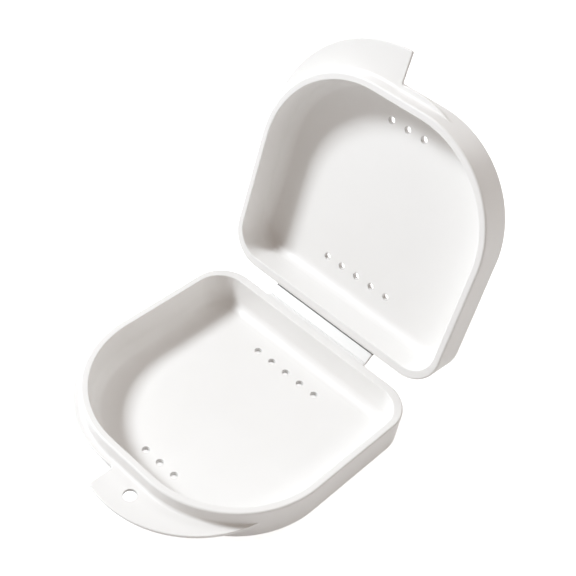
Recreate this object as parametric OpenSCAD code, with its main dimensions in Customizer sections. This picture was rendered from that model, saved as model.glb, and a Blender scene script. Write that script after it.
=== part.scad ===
// Orthodontic retainer case, standing open: two dished plastic shells moulded in one piece
// with the thin strap that folds between them. X runs along the hinge, the hinge is at the
// back (+Y) and Z is up. The origin is the centre of the base's flat underside.

/* [Shells] */
// Width of each shell across its rim
shell_w = 80.8; // [72:0.1:96]
// Depth of each shell, from its front wall to its back wall
shell_d = 73.7; // [66:0.1:90]
// Height of each shell, from its flat face to its rim
shell_h = 12.45; // [10:0.05:18]
// Radius of the two corners beside the hinge
back_corner_r = 10.9; // [8.5:0.1:16]
// Radius of the two front corners
front_corner_r = 32.2; // [22:0.1:35]
// Thickness of the wall
wall_t = 2.2; // [1.4:0.1:2.6]
// Thickness of the floor
floor_t = 1.5; // [1.2:0.1:2.4]
// Slope of the walls from upright, in degrees
wall_draft = 2.2; // [1:0.1:5]
// Radius inside, where the wall meets the floor
floor_fillet = 3.4; // [2:0.1:5.5]
// Radius outside, along the edge of the flat face
outer_edge_r = 2; // [1:0.1:3]
// Radius of both edges of the rim
rim_edge_r = 0.5; // [0.2:0.05:0.65]
// Gap between the two rims when the case is shut
rim_gap = 0.15; // [0.1:0.05:0.4]

/* [Vents] */
// Diameter of a vent hole
vent_d = 2; // [1.2:0.1:3]
// Distance between neighbouring vent holes
vent_pitch = 5.9; // [4:0.1:7]
// Number of vent holes in the row near the hinge
back_vents = 5; // [3:2:7]
// Number of vent holes in the row near the front
front_vents = 3; // [1:2:5]
// Distance of the back row from the back wall
back_vent_inset = 11; // [9.5:0.1:18]
// Distance of the front row from the front wall
front_vent_inset = 12; // [9.5:0.1:18]

/* [Opening tabs] */
// Thickness of the tabs
tab_t = 1; // [0.8:0.1:2]
// Distance of a tab's inner face from its own rim
tab_drop = 4.85; // [3:0.05:6]
// Reach of the base's tab past the front wall
base_tab_reach = 10.6; // [8:0.1:14]
// Radius of the base tab's curved edge
base_tab_r = 33.2; // [30:0.1:38]
// Centre of the base tab's curved edge, right of the middle
base_tab_x = 2.9; // [0:0.1:5]
// Straight end of the base's tab, left of the middle
base_tab_end = 4; // [2:0.1:8]
// Reach of the lid's tab past the front wall
lid_tab_reach = 11.2; // [8:0.1:14]
// Radius of the lid tab's curved edge
lid_tab_r = 39.3; // [34:0.1:44]
// Centre of the lid tab's curved edge, left of the middle
lid_tab_x = 3.1; // [0:0.1:5]
// Straight end of the lid's tab, left of the middle
lid_tab_end = 3.1; // [1:0.1:8]
// Reach past the front wall of the ledge that carries on from the base's tab
base_ledge_reach = 1.75; // [1:0.05:2.5]
// Radius of that ledge's curved edge
base_ledge_r = 33.2; // [32:0.1:35]
// Centre of that ledge's curved edge, left of the middle
base_ledge_x = 9.2; // [8:0.1:10]
// Reach past the front wall of the ledge that carries on from the lid's tab
lid_ledge_reach = 1.85; // [1:0.05:2.5]
// Radius of that ledge's curved edge
lid_ledge_r = 30; // [27:0.1:33]
// Centre of that ledge's curved edge, right of the middle
lid_ledge_x = 2; // [0:0.1:4]
// Diameter of the hole in the base's tab
tab_hole_d = 3.8; // [3:0.1:4.5]
// Place of that hole, right of the middle
tab_hole_x = 6.15; // [2:0.05:12]
// Distance of that hole's centre from the front wall
tab_hole_reach = 4.05; // [3.5:0.05:5]

/* [Hinge] */
// Length of the strap along the hinge
strap_w = 40; // [24:0.5:52]
// Centre of the strap, left of the middle
strap_x = 1; // [0:0.1:2]
// Thickness of the strap and of the two flanges that it folds against
strap_t = 0.9; // [0.6:0.05:1.1]
// How much thicker the wall is along the back, where the strap joins it
back_extra = 0.9; // [0.5:0.05:1.2]
// Distance from the thick back to the two fold lines
fold_reach = 1.45; // [1.2:0.05:2]
// Distance of the base's fold line below the base's rim
base_fold_drop = 1.3; // [1:0.05:2.6]
// Distance of the lid's fold line from the lid's rim
lid_fold_drop = 2.75; // [1:0.05:2.8]
// Gap between the strap's rounded edge and a flange's end
fold_gap = 0.1; // [0.05:0.01:0.15]
// How far the lid stands open from shut, in degrees
open_angle = 103; // [60:1:150]

/* [Hidden] */
$fn = 96;

plastic_white = [0.94, 0.94, 0.93];
cut_past = 1;
least_corner = 0.5;
least_strip = 0.1;

side_x = shell_w / 2;
back_y = shell_d / 2;
front_y = -shell_d / 2;

// Inward distance of the wall's outer face, at a height, from the rim's outer edge
function outer_in(z) = (shell_h - z) * tan(wall_draft);
// Inward distance of the wall's inner face, at a height, from the rim's outer edge
function inner_in(z) = wall_t + outer_in(z);
// Inward distance of the centre of an arc that touches a level line and a wall face: offset
// is the face's own distance at the rim, z the centre's height, r the radius signed inwards
function arc_in(offset, z, r) = offset + (r + (shell_h - z) * sin(wall_draft)) / cos(wall_draft);

// The inside fillet stays smaller than the back corners can hold
fillet_room = ((back_corner_r - least_corner - wall_t) * cos(wall_draft)
    - (shell_h - floor_t) * sin(wall_draft)) / (1 - sin(wall_draft));
fillet_r = min(floor_fillet, fillet_room);
floor_in = arc_in(wall_t, floor_t + fillet_r, fillet_r);

// The rim's rounded edges leave a flat strip that the wall and its thick back share
rim_r = min(rim_edge_r, (wall_t - back_extra - least_strip) / 2);

// The folds, in the frame of the base
fold_y = back_y + back_extra + fold_reach;
base_fold_z = shell_h - base_fold_drop;
strap_start_x = -strap_x - strap_w / 2;
strap_len = base_fold_drop + rim_gap + lid_fold_drop;
shut_lid_fold_z = base_fold_z + strap_len;
fold_angle = open_angle / 2;

// The tabs start from the middle of the wall
tab_z = shell_h - tab_drop - tab_t;
tab_seat_in = outer_in(tab_z) + wall_t / 2;

// Outline of a shell's rim, moved inwards by a distance
module outline(inset) {
    x = side_x - inset;
    back = back_y - inset;
    front = front_y + inset;
    back_r = back_corner_r - inset;
    front_r = front_corner_r - inset;
    right_half = [
        [x - back_r, back],
        [x, back - back_r],
        [x, front + front_r],
        [x - front_r, front]
    ];
    left_half = [for (i = [3:-1:0]) [-right_half[i].x, right_half[i].y]];
    polygon(concat(right_half, left_half));
    for (side = [-1, 1]) {
        translate([side * (x - back_r), back - back_r]) circle(back_r);
        translate([side * (x - front_r), front + front_r]) circle(front_r);
    }
}

// What lies between a corner of a profile and the arc that rounds it
module corner_bit(corner, start, end, center, r) {
    difference() {
        polygon([start, corner, end]);
        translate(center) circle(r);
    }
}

// A corner between a level line and a wall face. The face starts at an inward distance at the
// rim. r is signed inwards, and up is 1 where the arc lies above the level line, -1 below it.
module wall_corner(face_at_rim, level, r, up) {
    z = level + up * abs(r);
    center = [-arc_in(face_at_rim, z, r), z];
    corner = [-face_at_rim - outer_in(level), level];
    on_face = center + r * [cos(wall_draft), -sin(wall_draft)];
    on_level = [center.x, level];
    corner_bit(corner, on_face, on_level, center, abs(r));
}

// Section of the wall with its fillet and its strip of floor. x is 0 at the rim's outer edge.
module wall_section() {
    difference() {
        polygon([
            [0, shell_h],
            [-outer_in(0), 0],
            [-floor_in, 0],
            [-floor_in, floor_t],
            [-inner_in(floor_t), floor_t],
            [-wall_t, shell_h]
        ]);
        wall_corner(0, 0, outer_edge_r, 1);
        wall_corner(0, shell_h, rim_r, -1);
        wall_corner(wall_t, shell_h, -rim_r, -1);
    }
    wall_corner(wall_t, floor_t, fillet_r, 1);
}

// The outer part of that section and its foot, which thicken the back
module back_section() {
    top_in = (wall_t + back_extra) / 2;
    foot_in = arc_in(0, outer_edge_r, outer_edge_r) + 2 * back_extra;
    intersection() {
        wall_section();
        polygon([
            [0, shell_h],
            [0, 0],
            [-foot_in, 0],
            [-foot_in, floor_t / 2],
            [-top_in - outer_in(floor_t), floor_t],
            [-top_in, shell_h]
        ]);
    }
}

// A section carried round a quarter circle
module corner_run(center, r, from_angle) {
    translate([center.x, center.y, 0])
        rotate([0, 0, from_angle])
            rotate_extrude(angle = 90)
                translate([r, 0]) children();
}

// A section carried along a straight line, with its outer face towards an angle
module straight_run(start, facing, length) {
    translate([start.x, start.y, 0])
        rotate([0, 0, facing])
            rotate([90, 0, 0])
                linear_extrude(length) children();
}

// The wall all the way round
module wall() {
    back_x = side_x - back_corner_r;
    front_x = side_x - front_corner_r;
    back_corner_y = back_y - back_corner_r;
    front_corner_y = front_y + front_corner_r;
    side_length = back_corner_y - front_corner_y;
    corner_run([back_x, back_corner_y], back_corner_r, 0) wall_section();
    corner_run([-back_x, back_corner_y], back_corner_r, 90) wall_section();
    corner_run([-front_x, front_corner_y], front_corner_r, 180) wall_section();
    corner_run([front_x, front_corner_y], front_corner_r, 270) wall_section();
    straight_run([side_x, back_corner_y], 0, side_length) wall_section();
    straight_run([-back_x, back_y], 90, 2 * back_x) wall_section();
    straight_run([-side_x, front_corner_y], 180, side_length) wall_section();
    straight_run([front_x, front_y], 270, 2 * front_x) wall_section();
}

// The thick back along the hinge, which runs out round the two back corners
module back_wall() {
    back_x = side_x - back_corner_r;
    corner_y = back_y + back_extra - back_corner_r;
    corner_run([back_x, corner_y], back_corner_r, 0) back_section();
    corner_run([-back_x, corner_y], back_corner_r, 90) back_section();
    straight_run([-back_x, back_y + back_extra], 90, 2 * back_x) back_section();
    straight_run([side_x, corner_y], 0, back_extra) back_section();
    straight_run([-side_x, corner_y - back_extra], 180, back_extra) back_section();
}

// The flange under the rim that the strap folds against
module hinge_flange(fold_drop) {
    root_y = back_y + back_extra - wall_t / 2;
    end_y = fold_y - strap_t / 2 - fold_gap;
    translate([strap_start_x, root_y, shell_h - fold_drop - strap_t / 2])
        cube([strap_w, end_y - root_y, strap_t]);
}

// A row of holes through the floor
module vent_row(count, y) {
    for (i = [0:count - 1])
        translate([(i - (count - 1) / 2) * vent_pitch, y, -cut_past])
            cylinder(d = vent_d, h = floor_t + 2 * cut_past);
}

// A flat plate outside the wall: the part of a disc on one side of a straight end
module tab_plate(center, r, end_x, side) {
    reach = 2 * r;
    translate([0, 0, tab_z])
        linear_extrude(tab_t)
            difference() {
                intersection() {
                    translate(center) circle(r);
                    translate([side > 0 ? end_x : end_x - reach, center.y - reach])
                        square([reach, 2 * reach]);
                }
                outline(tab_seat_in);
            }
}

// One half of the case as it is moulded, rim up, with its flange for the strap
module half_shell(fold_drop) {
    difference() {
        union() {
            wall();
            linear_extrude(floor_t) outline(floor_in);
            back_wall();
            hinge_flange(fold_drop);
        }
        vent_row(back_vents, back_y - back_vent_inset);
        vent_row(front_vents, front_y + front_vent_inset);
    }
}

// The half that stands on the table, with its tab, its ledge and the hole for a cord
module base_shell() {
    tab_center = [base_tab_x, front_y - base_tab_reach + base_tab_r];
    ledge_center = [-base_ledge_x, front_y - base_ledge_reach + base_ledge_r];
    color(plastic_white)
        difference() {
            union() {
                half_shell(base_fold_drop);
                tab_plate(tab_center, base_tab_r, -base_tab_end, 1);
                tab_plate(ledge_center, base_ledge_r, -base_tab_end, -1);
            }
            translate([tab_hole_x, front_y - tab_hole_reach, tab_z - cut_past])
                cylinder(d = tab_hole_d, h = tab_t + 2 * cut_past);
        }
}

// The strap between the two fold lines, leaning back by half of the lid's angle
module hinge_strap() {
    color(plastic_white)
        translate([0, fold_y, base_fold_z])
            rotate([-fold_angle, 0, 0])
                translate([strap_start_x, 0, 0])
                    rotate([90, 0, 90])
                        linear_extrude(strap_w) {
                            circle(d = strap_t);
                            translate([0, strap_len]) circle(d = strap_t);
                            translate([-strap_t / 2, 0]) square([strap_t, strap_len]);
                        }
}

// The half that swings, with its own tab and ledge, turned over and opened about both folds
module lid_shell() {
    tab_center = [-lid_tab_x, front_y - lid_tab_reach + lid_tab_r];
    ledge_center = [lid_ledge_x, front_y - lid_ledge_reach + lid_ledge_r];
    color(plastic_white)
        translate([0, fold_y, base_fold_z])
            rotate([-fold_angle, 0, 0])
                translate([0, 0, strap_len])
                    rotate([-fold_angle, 0, 0])
                        translate([0, -fold_y, -shut_lid_fold_z])
                            translate([0, 0, 2 * shell_h + rim_gap])
                                mirror([0, 0, 1]) {
                                    half_shell(lid_fold_drop);
                                    tab_plate(tab_center, lid_tab_r, -lid_tab_end, -1);
                                    tab_plate(ledge_center, lid_ledge_r, -lid_tab_end, 1);
                                }
}

base_shell();
hinge_strap();
lid_shell();
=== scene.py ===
"""Looks of an open orthodontic retainer case: two dished shells and a folding strap of satin white plastic.

The case is one moulding. Each shell is worked out as it leaves the mould, rim up and in millimetres, and
is then put in its place in the frame: the base where it lies, the lid turned to where it stands open.
"""

import bmesh
import bpy
import numpy as np
from mathutils import Matrix, Vector
from mathutils.geometry import delaunay_2d_cdt


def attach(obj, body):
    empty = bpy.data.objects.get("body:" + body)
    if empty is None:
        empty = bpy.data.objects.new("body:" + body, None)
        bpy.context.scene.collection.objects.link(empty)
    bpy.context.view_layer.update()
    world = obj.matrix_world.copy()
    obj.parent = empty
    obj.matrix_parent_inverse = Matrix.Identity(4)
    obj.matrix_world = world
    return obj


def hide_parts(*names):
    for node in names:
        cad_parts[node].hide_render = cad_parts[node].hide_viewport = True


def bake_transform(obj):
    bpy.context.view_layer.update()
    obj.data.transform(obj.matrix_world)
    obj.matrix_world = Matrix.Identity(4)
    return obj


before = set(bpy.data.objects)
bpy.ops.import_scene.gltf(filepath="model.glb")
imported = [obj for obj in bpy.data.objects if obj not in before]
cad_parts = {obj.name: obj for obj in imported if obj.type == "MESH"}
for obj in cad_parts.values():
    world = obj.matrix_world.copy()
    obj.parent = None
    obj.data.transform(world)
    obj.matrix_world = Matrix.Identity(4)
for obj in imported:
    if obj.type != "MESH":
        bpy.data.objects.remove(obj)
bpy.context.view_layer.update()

# Sizes of the moulding in millimetres, and its angles, as in the part's source
SHELL_W, SHELL_D, SHELL_H = 80.8, 73.7, 12.45
BACK_CORNER_R, FRONT_CORNER_R = 10.9, 32.2
WALL_T, FLOOR_T, FLOOR_FILLET = 2.2, 1.5, 3.4
WALL_DRAFT = np.radians(2.2)
RIM_GAP, BACK_EXTRA = 0.15, 0.9
VENT_R, VENT_PITCH = 1.0, 5.9
BACK_VENTS, FRONT_VENTS = 5, 3
BACK_VENT_INSET, FRONT_VENT_INSET = 11.0, 12.0
TAB_T, TAB_DROP = 1.0, 4.85
STRAP_X, STRAP_W, STRAP_T = -1.0, 40.0, 0.9
FOLD_REACH, BASE_FOLD_DROP, LID_FOLD_DROP = 1.45, 1.3, 2.75
OPEN_ANGLE = np.radians(103.0)

# Small roundings in millimetres that the mould leaves on edges and in corners
RIM_INNER_R, RIM_OUTER_R, OUTER_EDGE_R = 0.3, 0.6, 2.4
VENT_EDGE_R, HOLE_EDGE_R = 0.14, 0.08
TAB_EDGE_R, TAB_ROOT_R = 0.28, 1.0
TAB_INNER_CORNER_R, TAB_OUTER_CORNER_R = 0.7, 0.6
STRAP_EDGE_R = 0.4

# Where the ledge is narrow, its roundings shrink to this share of its width
NARROW_SHARE = 0.35

# The strap's fold: the web's thickness, the length that bends, and the flange's swell at the wall
WEB_T, BEND_LEN = 0.22, 0.5
SWELL, SWELL_LEN = 0.25, 0.3

# Share of painted shade on the rounded edges and walls of holes, its reach along the fold's slot, and its
# colour
HOLE_PAINTED_SHADE, VENT_PAINTED_SHADE = (0.32, 0.32), (0.5, 0.06)
SLOT_PAINTED_SHADE_LEN = 0.08
PAINTED_SHADE_COLOUR = (0.12, 0.108, 0.1, 1)

# Places worked out from the sizes
SIDE_X, BACK_Y = SHELL_W / 2, SHELL_D / 2
BACK_X, BACK_CORNER_Y = SIDE_X - BACK_CORNER_R, BACK_Y - BACK_CORNER_R
FRONT_X, FRONT_CORNER_Y = SIDE_X - FRONT_CORNER_R, FRONT_CORNER_R - BACK_Y
TAB_TOP = SHELL_H - TAB_DROP
TAB_UNDER = TAB_TOP - TAB_T
STRAP_LEN = BASE_FOLD_DROP + RIM_GAP + LID_FOLD_DROP


def front_circle(x, reach, r):
    """Centre and radius of a circle about x that reaches so far in front of the rim."""
    return x, r - reach - BACK_Y, r


# Plan of each half's tab and ledge with the tab on the right: their circles, and the x where the tab ends
BASE_TAB, BASE_LEDGE, BASE_TAB_END = front_circle(2.9, 10.6, 33.2), front_circle(-9.2, 1.75, 33.2), -4.0
LID_TAB, LID_LEDGE, LID_TAB_END = front_circle(3.1, 11.2, 39.3), front_circle(-2.0, 1.85, 30.0), 3.1

# Centre and radius of the cord hole in the base's tab
CORD_HOLE = (6.15, -4.05 - BACK_Y, 1.9)

# The D of the rim, walked from the middle of the back to the left and round. It is made of straights and
# quarter circles, and each joint has the length walked, the centre, the radius and the way out there.
SIDE_RUN = BACK_CORNER_Y - FRONT_CORNER_Y
BACK_ARC, FRONT_ARC = BACK_CORNER_R * np.pi / 2, FRONT_CORNER_R * np.pi / 2
RUNS = [BACK_X, BACK_ARC, SIDE_RUN, FRONT_ARC, 2 * FRONT_X, FRONT_ARC, SIDE_RUN, BACK_ARC, BACK_X]
RUN_STEPS = [18, 32, 28, 64, 14, 64, 28, 32, 18]
WALKED = np.concatenate([[0], np.cumsum(RUNS)])
OUT_ANGLE = np.radians([90, 90, 180, 180, 270, 270, 360, 360, 450, 450])
CENTRE_X = [0, -BACK_X, -BACK_X, -FRONT_X, -FRONT_X, FRONT_X, FRONT_X, BACK_X, BACK_X, 0]
CENTRE_Y = [BACK_CORNER_Y] * 3 + [FRONT_CORNER_Y] * 4 + [BACK_CORNER_Y] * 3
CENTRE_R = [BACK_CORNER_R] * 3 + [FRONT_CORNER_R] * 4 + [BACK_CORNER_R] * 3

# Least step between the mesh's columns, and the pitch of the floor's points, which keep off vents and wall
LEAST_STEP, NET_PITCH = 0.3, 3.1
VENT_CLEAR, WALL_CLEAR = 2.0, 1.2


def quarter(steps):
    """Even angles over a quarter turn."""
    return np.linspace(0, np.pi / 2, steps + 1)


def unit_ring(steps):
    """Even points on a circle of radius 1."""
    angle = np.linspace(0, 2 * np.pi, steps, endpoint=False)
    return np.stack([np.cos(angle), np.sin(angle)], -1)


def raised(plan, height):
    """Rows of plan points, with each row lifted to its height."""
    level = np.broadcast_to(height[:, None, None], (*plan.shape[:2], 1))
    return np.concatenate([plan, level], -1)


def rim_line(walk):
    """Points of the rim's outer line and the way out there. A point is a centre plus a radius along the
    way out, and centre, radius and angle all change evenly along each straight or arc."""
    angle = np.interp(walk, WALKED, OUT_ANGLE)
    out = np.stack([np.cos(angle), np.sin(angle)], -1)
    centre = np.stack([np.interp(walk, WALKED, CENTRE_X), np.interp(walk, WALKED, CENTRE_Y)], -1)
    return centre + np.interp(walk, WALKED, CENTRE_R)[:, None] * out, out


def rim_distance(points):
    """Distance outside the rim line, less than 0 inside. It is the larger of the distances from the
    front outline and from the back outline, each a box with rounded corners."""
    x, y = np.abs(points[..., 0]), points[..., 1]
    front = np.hypot(np.maximum(x - FRONT_X, 0), np.maximum(FRONT_CORNER_Y - y, 0)) - FRONT_CORNER_R
    back = np.hypot(np.maximum(x - BACK_X, 0), np.maximum(y - BACK_CORNER_Y, 0)) - BACK_CORNER_R
    return np.maximum(front, back)


def lean_in(z):
    """How far the outer face has leant in from the rim line at a height."""
    return (SHELL_H - z) * np.tan(WALL_DRAFT)


def wall_at(walk, z):
    """Points of the outer wall at some heights, one row for each height: the rim line, moved in by the
    wall's lean."""
    line, out = rim_line(walk)
    return raised(line[None] - lean_in(z)[:, None, None] * out[None], z)


def section_arc(face_in, z, r, start, end, steps):
    """Insets and heights of an arc of the wall's section, from one angle in degrees to another. Its
    centre is at height z, and lies in from the leaning face that the arc touches, or out from it where
    the radius is less than 0. At the rim's height that face has an inset of face_in."""
    centre_in = face_in + (r + (SHELL_H - z) * np.sin(WALL_DRAFT)) / np.cos(WALL_DRAFT)
    angle = np.radians(np.linspace(start, end, steps + 1))
    size = abs(r)
    return np.stack([centre_in - size * np.cos(angle), z + size * np.sin(angle)], -1)


# Heights of the outer wall's rows: above the tab, down over the tab and its roundings, and below it
ABOVE_TAB = np.array([11.3, 10.7, 10.1, 9.5, 9.0])
ROOT_UP = TAB_TOP + TAB_ROOT_R * (1 - np.sin(quarter(6)))
EDGE_DOWN = TAB_TOP - TAB_EDGE_R * (1 - np.cos(quarter(5)))
EDGE_UP = TAB_UNDER + TAB_EDGE_R * (1 - np.cos(quarter(5)[::-1]))
ROOT_DOWN = TAB_UNDER - TAB_ROOT_R * (1 - np.sin(quarter(6)[::-1]))
TAB_ROWS = np.concatenate([ROOT_UP, EDGE_DOWN[1:], EDGE_UP, ROOT_DOWN[1:]])
BELOW_TAB = np.array([5.0, 4.1, 3.2, 2.5])


def wall_rows():
    """Inset, height and share of the thick back for each row of the wall: from the floor inside, up the
    fillet and the wall, over the rim and down the outside to the underside. Also gives the row where
    the tab starts."""
    draft = np.degrees(WALL_DRAFT)
    fillet = section_arc(WALL_T, FLOOR_T + FLOOR_FILLET, FLOOR_FILLET, -90, -draft, 18)
    rim_in = section_arc(WALL_T, SHELL_H - RIM_INNER_R, -RIM_INNER_R, 180 - draft, 90, 8)
    rim_out = section_arc(0, SHELL_H - RIM_OUTER_R, RIM_OUTER_R, 90, -draft, 12)
    foot = section_arc(0, OUTER_EDGE_R, OUTER_EDGE_R, -draft, -90, 12)
    climb = fillet[-1] + np.linspace(0, 1, 7)[1:-1, None] * (rim_in[0] - fillet[-1])
    heights = np.concatenate([ABOVE_TAB, TAB_ROWS, BELOW_TAB])
    inside = np.concatenate([fillet, climb, rim_in])
    outside = np.concatenate([rim_out, np.stack([lean_in(heights), heights], -1), foot])
    share = np.repeat([0.0, 1.0], [len(inside), len(outside)])
    return np.concatenate([inside, outside]), share, len(inside) + len(rim_out) + len(ABOVE_TAB)


def back_reach(out):
    """How much further out the thick back wall stands. It is the same outline moved back, so it follows
    the side's line first and then the moved corner arc."""
    x, y = np.abs(out[:, 0]), out[:, 1]
    line = BACK_CORNER_R * (1 / np.maximum(x, 1e-6) - 1)
    arc = BACK_EXTRA * y + np.sqrt(BACK_CORNER_R**2 - (BACK_EXTRA * x) ** 2) - BACK_CORNER_R
    return np.where(y <= 0, 0, np.where(y < x * BACK_EXTRA / BACK_CORNER_R, line, arc))


class Moulding:
    """Gathers the surfaces of one piece and closes them into one mesh."""

    def __init__(self):
        self.points = []
        self.faces = []
        self.painted_shade = []
        self.count = 0

    def add(self, points, faces, painted_shade=None):
        """Keeps a surface, with the share of painted shade at each of its points."""
        self.points.append(points)
        self.painted_shade.append(np.zeros(len(points)) if painted_shade is None else painted_shade)
        self.faces.extend((faces + self.count).tolist())
        self.count += len(points)

    def grid(self, points, around=False, keep=None, painted_shade=None):
        """Quads between the neighbours of a grid of points, which may run all the way around."""
        rows, columns = points.shape[:2]
        index = np.arange(rows * columns).reshape(rows, columns)
        here, there = (index, np.roll(index, -1, 1)) if around else (index[:, :-1], index[:, 1:])
        quads = np.stack([here[:-1], here[1:], there[1:], there[:-1]], -1)
        quads = quads.reshape(-1, 4) if keep is None else quads[keep]
        self.add(points.reshape(-1, 3), quads, painted_shade)

    def flat(self, outline, z, holes, inside=None):
        """Triangles at one height between an outline and the round holes in it."""
        loops = [outline, *holes]
        ends = np.cumsum([0] + [len(loop) for loop in loops])
        turns = [np.arange(a, b) for a, b in zip(ends[:-1], ends[1:])]
        edges = np.concatenate([np.stack([turn, np.roll(turn, -1)], -1) for turn in turns])
        points = np.concatenate(loops + ([] if inside is None else [inside]))
        corners = [Vector(point) for point in points.tolist()]
        filled = delaunay_2d_cdt(corners, edges.tolist(), [], 1, 1e-6)
        plan = np.array([tuple(point) for point in filled[0]])
        faces = np.array(filled[2])
        for hole in holes:
            centre = hole.mean(0)
            reach = np.linalg.norm(hole[0] - centre)
            faces = faces[np.linalg.norm(plan[faces].mean(1) - centre, axis=1) > reach * 0.999]
        self.add(np.column_stack([plan, np.full(len(plan), z)]), faces)

    def bore(self, x, y, r, edge_r, low, high, painted_shade):
        """A round hole from top to bottom: a quarter circle, a straight wall and a quarter circle, turned
        about the hole's axis. Gives the ring at its mouth."""
        lip = edge_r * (1 - np.cos(quarter(4)))
        swell = edge_r * (1 - np.sin(quarter(4)))
        width = r + np.concatenate([swell, swell[::-1]])
        height = np.concatenate([high - lip, low + lip[::-1]])
        rings = unit_ring(36)[None] * width[:, None, None] + [x, y]
        # The hole's rounded lips and its wall get painted shade, a darker colour where shade falls
        edge_shade, wall_shade = painted_shade
        share = np.repeat([0, edge_shade, wall_shade, edge_shade, 0], [1, 3, 2, 3, 1])
        self.grid(raised(rings, height), around=True, painted_shade=np.repeat(share, rings.shape[1]))
        return rings[0]

    def piece(self, name, place, material):
        """The closed mesh, put in its place in the frame, as an object."""
        mesh = bpy.data.meshes.new(name)
        mesh.from_pydata(place(np.concatenate(self.points)).tolist(), [], self.faces)
        # Each point's share of painted shade, which the material mixes into its colour
        painted_shade = mesh.attributes.new("painted_shade", "FLOAT", "POINT")
        painted_shade.data.foreach_set("value", np.concatenate(self.painted_shade))
        work = bmesh.new()
        work.from_mesh(mesh)
        bmesh.ops.remove_doubles(work, verts=work.verts, dist=2e-6)
        loose = [corner for corner in work.verts if not corner.link_faces]
        bmesh.ops.delete(work, geom=loose, context="VERTS")
        bmesh.ops.recalc_face_normals(work, faces=work.faces)
        work.to_mesh(mesh)
        work.free()
        mesh.shade_smooth()
        mesh.set_sharp_from_angle(angle=np.radians(50))
        mesh.materials.append(material)
        made = bpy.data.objects.new(name, mesh)
        bpy.context.scene.collection.objects.link(made)
        return made


def tab_edge(tab, ledge, end, side):
    """Plan of the edge of a shell's ledge and tab, and the way out of it. It follows the ledge's circle,
    a hollow corner, the tab's straight end, a round corner and the tab's circle, and starts and ends on
    the wall. It is worked out with the tab on the right, and side is -1 where the tab is on the left."""
    ledge_c, tab_c = np.array(ledge[:2]), np.array(tab[:2])
    ledge_r, tab_r = ledge[2], tab[2]

    def wall_angle(centre, r, stop):
        """Angle at which a circle, followed from its front towards a last angle, runs into the wall."""
        angle = np.linspace(1.5 * np.pi, stop, 20000)
        gap = rim_distance(centre + r * np.stack([np.cos(angle), np.sin(angle)], -1))
        return angle[np.argmax(gap + lean_in(TAB_TOP) < 0)]

    def below(centre, r, x):
        """Point at x on the front half of a circle."""
        return np.array([x, centre[1] - np.sqrt(r**2 - (x - centre[0]) ** 2)])

    def arc(centre, r, start, stop, steps, way=1):
        """Points of an arc, and the way out, which is towards its centre where way is -1."""
        angle = np.linspace(start, stop, steps)
        out = np.stack([np.cos(angle), np.sin(angle)], -1)
        return centre + r * out, way * out

    hollow_c = below(ledge_c, ledge_r + TAB_INNER_CORNER_R, end - TAB_INNER_CORNER_R)
    round_c = below(tab_c, tab_r - TAB_OUTER_CORNER_R, end + TAB_OUTER_CORNER_R)
    ledge_stop = np.arctan2(*(hollow_c - ledge_c)[::-1]) % (2 * np.pi)
    tab_start = np.arctan2(*(round_c - tab_c)[::-1]) % (2 * np.pi)
    ledge_start = wall_angle(ledge_c, ledge_r, 0.6 * np.pi)
    tab_stop = wall_angle(tab_c, tab_r, 2.4 * np.pi)
    end_y = np.linspace(hollow_c[1], round_c[1], 14)[1:-1]
    tab_end = np.stack([np.full(len(end_y), end), end_y], -1)
    runs = [
        arc(ledge_c, ledge_r, ledge_start, ledge_stop, 80),
        arc(hollow_c, TAB_INNER_CORNER_R, ledge_stop - np.pi, 0, 9, way=-1),
        (tab_end, np.tile([-1.0, 0.0], (len(end_y), 1))),
        arc(round_c, TAB_OUTER_CORNER_R, np.pi, tab_start, 9),
        arc(tab_c, tab_r, tab_start, tab_stop, 80),
    ]
    edge = np.concatenate([run[0] for run in runs])
    out = np.concatenate([run[1] for run in runs])
    fresh = np.concatenate([[True], np.linalg.norm(np.diff(edge, axis=0), axis=1) > 1e-6])
    edge, out = edge[fresh] * [side, 1], out[fresh] * [side, 1]
    return (edge, out) if side > 0 else (edge[::-1], out[::-1])


def add_tab(shell, walk, edge, out, hole=None):
    """The ledge and tab of a shell: quarter circles up and down at the wall, a flat top and underside, and
    an edge of two quarter circles. All of them shrink to nothing where the edge runs into the wall."""
    seat = wall_at(walk, np.array([TAB_TOP]))[0, :, :2]
    way = rim_line(walk)[1]
    width = np.linalg.norm(seat[:, None] - edge[None], axis=-1).min(1)
    root = np.minimum(TAB_ROOT_R, NARROW_SHARE * width)
    root[[0, -1]] = 0
    lift = 1 - np.cos(quarter(6))
    upper, lower = wall_at(walk, ROOT_UP), wall_at(walk, ROOT_DOWN)
    upper[..., :2] += lift[:, None, None] * (root[:, None] * way)[None]
    lower[..., :2] += lift[::-1][:, None, None] * (root[:, None] * way)[None]
    reach = rim_distance(edge) + lean_in(TAB_TOP)
    soft = np.clip(NARROW_SHARE * reach, 0, TAB_EDGE_R)
    turn = 1 - np.sin(np.concatenate([quarter(5), quarter(5)[::-1]]))
    height = np.concatenate([EDGE_DOWN, EDGE_UP])
    rim = raised(edge[None] - turn[:, None, None] * (soft[:, None] * out)[None], height)
    rim[:, [0, -1]] = wall_at(walk[[0, -1]], height)
    for rows in (upper, lower, rim):
        shell.grid(rows)
    holes = [] if hole is None else [shell.bore(*hole, HOLE_EDGE_R, TAB_UNDER, TAB_TOP, HOLE_PAINTED_SHADE)]
    for inner, outer, z in ((upper[-1], rim[0], TAB_TOP), (lower[0], rim[-1], TAB_UNDER)):
        shell.flat(np.concatenate([inner, outer[-2:0:-1]])[:, :2], z, holes)


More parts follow.
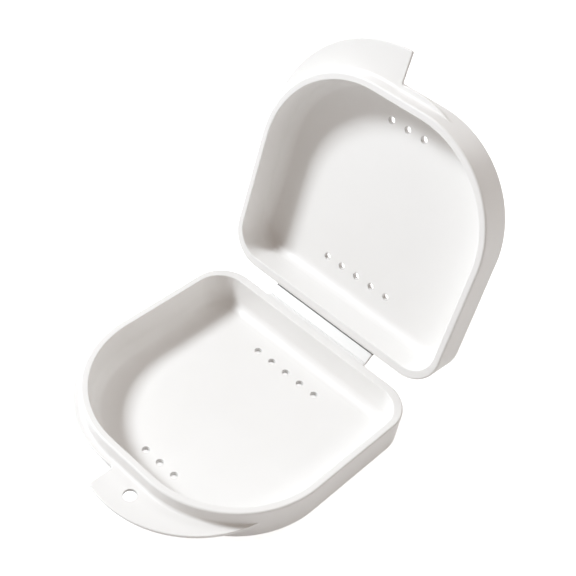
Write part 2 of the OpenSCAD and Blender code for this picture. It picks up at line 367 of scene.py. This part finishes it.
def rim_columns(edge):
    """Lengths walked along the rim at the mesh's columns: even steps along each straight and arc, and the
    two places where the edge of the ledge and tab meets the wall, which are also given by themselves."""
    fine = np.linspace(0, WALKED[-1], 300000)
    line, way = rim_line(fine)
    line = line - lean_in(TAB_TOP) * way
    ends = [fine[np.argmin(((line - point) ** 2).sum(1))] for point in (edge[0], edge[-1])]
    spans = zip(WALKED[:-1], WALKED[1:], RUN_STEPS)
    walk = np.concatenate([np.linspace(start, stop, steps, endpoint=False) for start, stop, steps in spans])
    walk = walk[np.abs(walk[:, None] - ends).min(1) > LEAST_STEP]
    return np.sort(np.append(walk, ends)), ends


def vent_row(count, y):
    """Centres of a row of vents, evenly spaced about the middle."""
    return [((i - (count - 1) / 2) * VENT_PITCH, y) for i in range(count)]


def half_shell(tab, ledge, end, side, hole=None):
    """One half of the case, rim up: a wall section carried round the D, its floor with the vents, and the
    ledge and tab."""
    shell = Moulding()
    edge, out = tab_edge(tab, ledge, end, side)
    walk, (tab_from, tab_to) = rim_columns(edge)
    rows, back_share, tab_row = wall_rows()
    line, way = rim_line(walk)
    inset = rows[:, :1] - back_share[:, None] * back_reach(way)[None]
    wall = raised(line[None] - inset[..., None] * way[None], rows[:, 1])
    keep = np.ones((len(rows) - 1, len(walk)), bool)
    keep[tab_row:tab_row + len(TAB_ROWS) - 1, (walk >= tab_from) & (walk < tab_to)] = False
    shell.grid(wall, around=True, keep=keep)
    add_tab(shell, walk[(walk >= tab_from) & (walk <= tab_to)], edge, out, hole)

    vents = vent_row(BACK_VENTS, BACK_Y - BACK_VENT_INSET)
    vents += vent_row(FRONT_VENTS, FRONT_VENT_INSET - BACK_Y)
    holes = [shell.bore(x, y, VENT_R, VENT_EDGE_R, 0, FLOOR_T, VENT_PAINTED_SHADE) for x, y in vents]
    net_x, net_y = np.arange(-38, 39, NET_PITCH), np.arange(-36, 37, NET_PITCH)
    net = np.stack(np.meshgrid(net_x, net_y), -1).reshape(-1, 2)
    net = net[np.linalg.norm(net[:, None] - np.array(vents)[None], axis=-1).min(1) > VENT_CLEAR]
    for row, z in ((0, FLOOR_T), (-1, 0)):
        inside = net[rim_distance(net) < -rows[row, 0] - WALL_CLEAR]
        shell.flat(wall[row, :, :2], z, holes, inside)
    return shell


# The folds seen from the side, as y and z, and the ways along both flanges and the strap
BASE_FOLD = np.array([BACK_Y + BACK_EXTRA + FOLD_REACH, SHELL_H - BASE_FOLD_DROP])
BASE_WAY = np.array([1.0, 0.0])
STRAP_WAY = np.array([np.sin(OPEN_ANGLE / 2), np.cos(OPEN_ANGLE / 2)])
LID_WAY = np.array([np.cos(OPEN_ANGLE), -np.sin(OPEN_ANGLE)])
LID_FOLD = BASE_FOLD + STRAP_LEN * STRAP_WAY
LID_FOLD_SHUT = BASE_FOLD + [0, STRAP_LEN]


def in_base(points):
    """From the mould to the frame: the base lies as it was moulded, so only millimetres become metres."""
    return points / 1000


def in_lid(points):
    """From the mould to the open lid: turned over onto the base's rim, then swung back about its fold."""
    y = points[:, 1] - LID_FOLD_SHUT[0]
    z = 2 * SHELL_H + RIM_GAP - points[:, 2] - LID_FOLD_SHUT[1]
    swing_y = LID_FOLD[0] + y * np.cos(OPEN_ANGLE) + z * np.sin(OPEN_ANGLE)
    swing_z = LID_FOLD[1] - y * np.sin(OPEN_ANGLE) + z * np.cos(OPEN_ANGLE)
    return np.stack([points[:, 0], swing_y, swing_z], -1) / 1000


def fold_line(along, fold, from_shell, to_strap):
    """Points of the line across a fold, and the way across it. The line's angle eases from the flange's
    way to the strap's, and its points add up the steps along it, with the fold where the length is 0."""
    bend = np.clip(along / BEND_LEN + 0.5, 0, 1)
    bend = bend * bend * (3 - 2 * bend)
    angles = [np.arctan2(way[1], way[0]) for way in (from_shell, to_strap)]
    angle = angles[0] + bend * ((angles[1] - angles[0] + np.pi) % (2 * np.pi) - np.pi)
    way = np.stack([np.cos(angle), np.sin(angle)], -1)
    step = np.diff(along)[:, None] * (way[1:] + way[:-1]) / 2
    path = np.concatenate([np.zeros((1, 2)), np.cumsum(step, 0)])
    path = path - path[np.argmin(np.abs(along))] + fold
    return path, np.stack([-way[:, 1], way[:, 0]], -1)


def half_thickness(along, web, web_edge_r):
    """Half of the strap's thickness: that of the web between its two ends, quarter circles beside it, and
    a swell where the flange meets the wall."""
    past = np.maximum(web[0] - along, along - web[1])
    dip = web_edge_r - np.clip(past, 0, web_edge_r)
    thick = STRAP_T / 2 - web_edge_r + np.sqrt(web_edge_r**2 - dip**2)
    thick = np.where(past > 0, np.maximum(thick, WEB_T / 2), WEB_T / 2)
    root = np.clip((SWELL_LEN - FOLD_REACH - along) / SWELL_LEN, 0, 1)
    return thick + SWELL * (1 - np.sqrt(1 - root**2))


def strap_half(fold, from_shell, to_strap, web, web_edge_r, sunk=0.0):
    """Half of the strap with its fold and the flange on the shell. A rounded oblong section is carried
    along a line that turns at the fold, and thins to a web from one place along that line to another.
    The web lies midway, or at the far face where it is sunk, and shade is painted at the strap end of
    such a slot."""
    flange, close = np.linspace(-2.0, -1.0, 9), np.linspace(-0.97, 1.27, 113)
    wide = np.linspace(1.35, STRAP_LEN / 2, 5)
    web_ends = np.add.outer(web, [-1e-3, 1e-3]).ravel()
    along = np.sort(np.concatenate([flange, close, wide, web_ends]))
    path, across = fold_line(along, fold, from_shell, to_strap)
    thick = half_thickness(along, web, web_edge_r)[:, None]

    corner_steps = 12
    corner_x, corner_y = np.repeat([1, -1, -1, 1], corner_steps), np.repeat([1, 1, -1, -1], corner_steps)
    turn = np.concatenate([quarter(corner_steps - 1) + corner * np.pi / 2 for corner in range(4)])
    edge = np.minimum(STRAP_EDGE_R, thick)
    x = STRAP_X + corner_x * (STRAP_W / 2 - edge) + edge * np.cos(turn)
    y = corner_y * (thick - edge) + edge * np.sin(turn) + sunk * np.maximum(STRAP_T / 2 - thick, 0)
    rings = np.concatenate([x[..., None], path[:, None] + y[..., None] * across[:, None]], -1)
    # Painted shade along the strap end of the sunk slot, on the face where the slot lies
    painted_shade = np.clip(2 - np.abs(along - web[1] + SLOT_PAINTED_SHADE_LEN) / SLOT_PAINTED_SHADE_LEN, 0, 1)
    painted_shade = sunk * painted_shade[:, None] * (corner_y < 0)

    strap = Moulding()
    strap.grid(rings, around=True, painted_shade=painted_shade.ravel())
    for cap in rings[[0, -1]]:
        strap.add(cap, np.arange(len(cap))[None])
    return strap


class Value:
    """A shader socket that Python's operators work on. Each operator adds one Math node."""

    def __init__(self, tree, socket=None):
        self.tree = tree
        self.socket = socket

    def node(self, kind, settings=None, output=0, **sockets):
        """Adds a node: its settings come first, then the values or links of its sockets. A socket is
        given by its name, or by its number after an i."""
        made = self.tree.nodes.new(kind)
        for name, setting in (settings or {}).items():
            setattr(made, name, setting)
        for name, given in sockets.items():
            key = int(name[1:]) if name[1:].isdigit() else name.replace("_", " ")
            target = made.inputs[key]
            if isinstance(given, Value):
                self.tree.links.new(given.socket, target)
            else:
                target.default_value = given
        return Value(self.tree, made.outputs[output] if len(made.outputs) else None)

    def math(self, operation, first, second):
        """Adds a Math node."""
        return self.node("ShaderNodeMath", {"operation": operation}, i0=first, i1=second)

    def __add__(self, other):
        return self.math("ADD", self, other)

    def __radd__(self, other):
        return self.math("ADD", other, self)

    def __mul__(self, other):
        return self.math("MULTIPLY", self, other)

    def __rmul__(self, other):
        return self.math("MULTIPLY", other, self)


def plastic(name, light, shade):
    """Satin white plastic: a fine moulded grain, faint clouds of tone and gloss, a soft unevenness, and
    painted shade in the fold and the holes, which the mesh marks."""
    material = bpy.data.materials.new(name)
    material.use_nodes = True
    tree = material.node_tree
    shader = tree.nodes["Principled BSDF"]
    start = Value(tree)
    colours = {"data_type": "RGBA"}
    place = start.node("ShaderNodeTexCoord", output="Object")
    grain = start.node("ShaderNodeTexNoise", Vector=place, Scale=2400.0, Detail=2.0, Roughness=0.55)
    cloud = start.node("ShaderNodeTexNoise", Vector=place, Scale=70.0, Detail=3.0, Roughness=0.5)
    wave = start.node("ShaderNodeTexNoise", Vector=place, Scale=160.0, Detail=1.0)
    tone = start.node("ShaderNodeMix", colours, 2, i0=cloud, i6=(*shade, 1), i7=(*light, 1))
    # Painted shade: the dark colour mixed in where the mesh marks it
    painted_shade = start.node("ShaderNodeAttribute", {"attribute_name": "painted_shade"}, "Fac")
    tone = start.node("ShaderNodeMix", colours, 2, i0=painted_shade, i6=tone, i7=PAINTED_SHADE_COLOUR)
    gloss = 0.36 + 0.12 * cloud + 0.05 * grain
    height = grain + 3.0 * wave
    bump = start.node("ShaderNodeBump", Strength=0.12, Distance=0.00002, Height=height)
    tree.links.new(tone.socket, shader.inputs["Base Color"])
    tree.links.new(gloss.socket, shader.inputs["Roughness"])
    tree.links.new(bump.socket, shader.inputs["Normal"])
    return material


shell_plastic = plastic("shell_plastic", (0.872, 0.86, 0.845), (0.852, 0.839, 0.823))
strap_plastic = plastic("strap_plastic", (0.885, 0.876, 0.864), (0.868, 0.858, 0.846))

base_case = half_shell(BASE_TAB, BASE_LEDGE, BASE_TAB_END, 1, CORD_HOLE)
base_case = base_case.piece("base_case", in_base, shell_plastic)
lid_case = half_shell(LID_TAB, LID_LEDGE, LID_TAB_END, -1)
lid_case = lid_case.piece("lid_case", in_lid, shell_plastic)
base_strap = strap_half(BASE_FOLD, BASE_WAY, STRAP_WAY, (-0.15, 0.15), 0.34)
base_strap = base_strap.piece("base_strap", in_base, strap_plastic)
lid_strap = strap_half(LID_FOLD, LID_WAY, -STRAP_WAY, (-0.3, 0.6), 0.05, sunk=1.0)
lid_strap = lid_strap.piece("lid_strap", in_base, strap_plastic)

for piece, node, body in ((base_case, "base_shell", "base"), (lid_case, "lid_shell", "lid")):
    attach(piece, body)
    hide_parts(node)
    smooth = piece.modifiers.new("smooth", "WEIGHTED_NORMAL")
    smooth.keep_sharp = True

# A distance in millimetres from each fold; the points this far to either side of it are worked out but not
# used
TURN_REACH = 0.45
for piece, fold, ways, bodies in (
    (base_strap, BASE_FOLD, BASE_WAY + STRAP_WAY, ("base", "strap")),
    (lid_strap, LID_FOLD, STRAP_WAY - LID_WAY, ("strap", "lid")),
):
    mean = TURN_REACH * ways / np.linalg.norm(ways)
    start, end = ((0, *((fold + turn * mean) / 1000)) for turn in (-1, 1))
    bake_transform(piece)
    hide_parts("hinge_strap")


def photo_camera():
    """The photograph's camera, fitted to the case's outlines: its place, and the ways right and down."""
    camera_data = bpy.data.cameras.new("camera")
    camera_data.sensor_width = 36
    camera_data.lens = 69.28
    camera_data.clip_start = 0.01
    right = np.array([0.717448, 0.689395, 0.100015])
    down = np.array([0.532897, -0.450682, -0.716174])
    forward = np.cross(right, down)
    pose = np.eye(4)
    pose[:3, :3] = np.column_stack([right, -down, -forward])
    pose[:3, 3] = [0.13831, -0.15350, 0.25311]
    camera = bpy.data.objects.new("camera", camera_data)
    camera.matrix_world = Matrix(pose.tolist())
    bpy.context.scene.collection.objects.link(camera)
    return camera


bpy.context.scene.camera = photo_camera()


def soft_lamp(name, place, size, power, tint):
    """A square lamp that faces the middle of the case."""
    lamp_data = bpy.data.lights.new(name, "AREA")
    lamp_data.size = size
    lamp_data.energy = power
    lamp_data.color = tint
    middle = np.array([0, 0.01, 0.03])
    z = np.array(place) - middle
    z = z / np.linalg.norm(z)
    x = np.cross([0, 0, 1], z)
    x = x / np.linalg.norm(x)
    turn = np.eye(4)
    turn[:3, :3] = np.column_stack([x, np.cross(z, x), z])
    turn[:3, 3] = place
    lamp = bpy.data.objects.new(name, lamp_data)
    lamp.matrix_world = Matrix(turn.tolist())
    bpy.context.scene.collection.objects.link(lamp)


soft_lamp("key", (-0.77, -0.463, 0.795), 0.26, 14.4, (0.945, 1.0, 1.045))
soft_lamp("back", (0, 1.174, 0.25), 0.5, 2.3, (0.97, 1.0, 1.02))
soft_lamp("back_top", (0, 0.6, 1.039), 0.5, 2.7, (0.96, 1.0, 1.03))
soft_lamp("right", (1.04, 0, 0.6), 0.5, 2.4, (0.98, 1.0, 1.01))

world = bpy.data.worlds.new("world")
world.use_nodes = True
bpy.context.scene.world = world
sky = world.node_tree.nodes["Background"]
sky.inputs["Color"].default_value = (1, 0.77, 0.61, 1)
sky.inputs["Strength"].default_value = 0.19


def floor_paint():
    """Matt pale paint. The camera and reflections see it white, and a glow lightens the case's shadow."""
    paint = bpy.data.materials.new("floor_paint")
    paint.use_nodes = True
    tree = paint.node_tree
    tree.nodes.clear()
    start = Value(tree)
    path = tree.nodes.new("ShaderNodeLightPath")
    camera_ray, glossy_ray, clear_ray = (
        Value(tree, path.outputs[name])
        for name in ("Is Camera Ray", "Is Glossy Ray", "Is Transmission Ray")
    )
    seen = start.math("MINIMUM", camera_ray + glossy_ray + clear_ray, 1.0)
    matt = start.node("ShaderNodeBsdfDiffuse", Color=(0.7, 0.7, 0.7, 1))
    faint = start.node("ShaderNodeBsdfDiffuse", Color=(1, 1, 1, 1))
    glow = start.node("ShaderNodeEmission", Color=(1, 1, 1, 1), Strength=0.72)
    white = start.node("ShaderNodeAddShader", i0=faint, i1=glow)
    look = start.node("ShaderNodeMixShader", i0=seen, i1=matt, i2=white)
    start.node("ShaderNodeOutputMaterial", Surface=look)
    return paint


# The floor is a square, just under the case so that no faces meet
FLOOR_REACH, FLOOR_DROP = 3.0, 0.0002
floor_mesh = bpy.data.meshes.new("floor")
floor_corners = FLOOR_REACH * np.array([(-1, -1, 0), (1, -1, 0), (1, 1, 0), (-1, 1, 0)])
floor_mesh.from_pydata(floor_corners.tolist(), [], [(0, 1, 2, 3)])
floor_mesh.materials.append(floor_paint())
floor = bpy.data.objects.new("floor", floor_mesh)
floor.location.z = -FLOOR_DROP
bpy.context.scene.collection.objects.link(floor)

bpy.context.scene.view_settings.view_transform = "Standard"
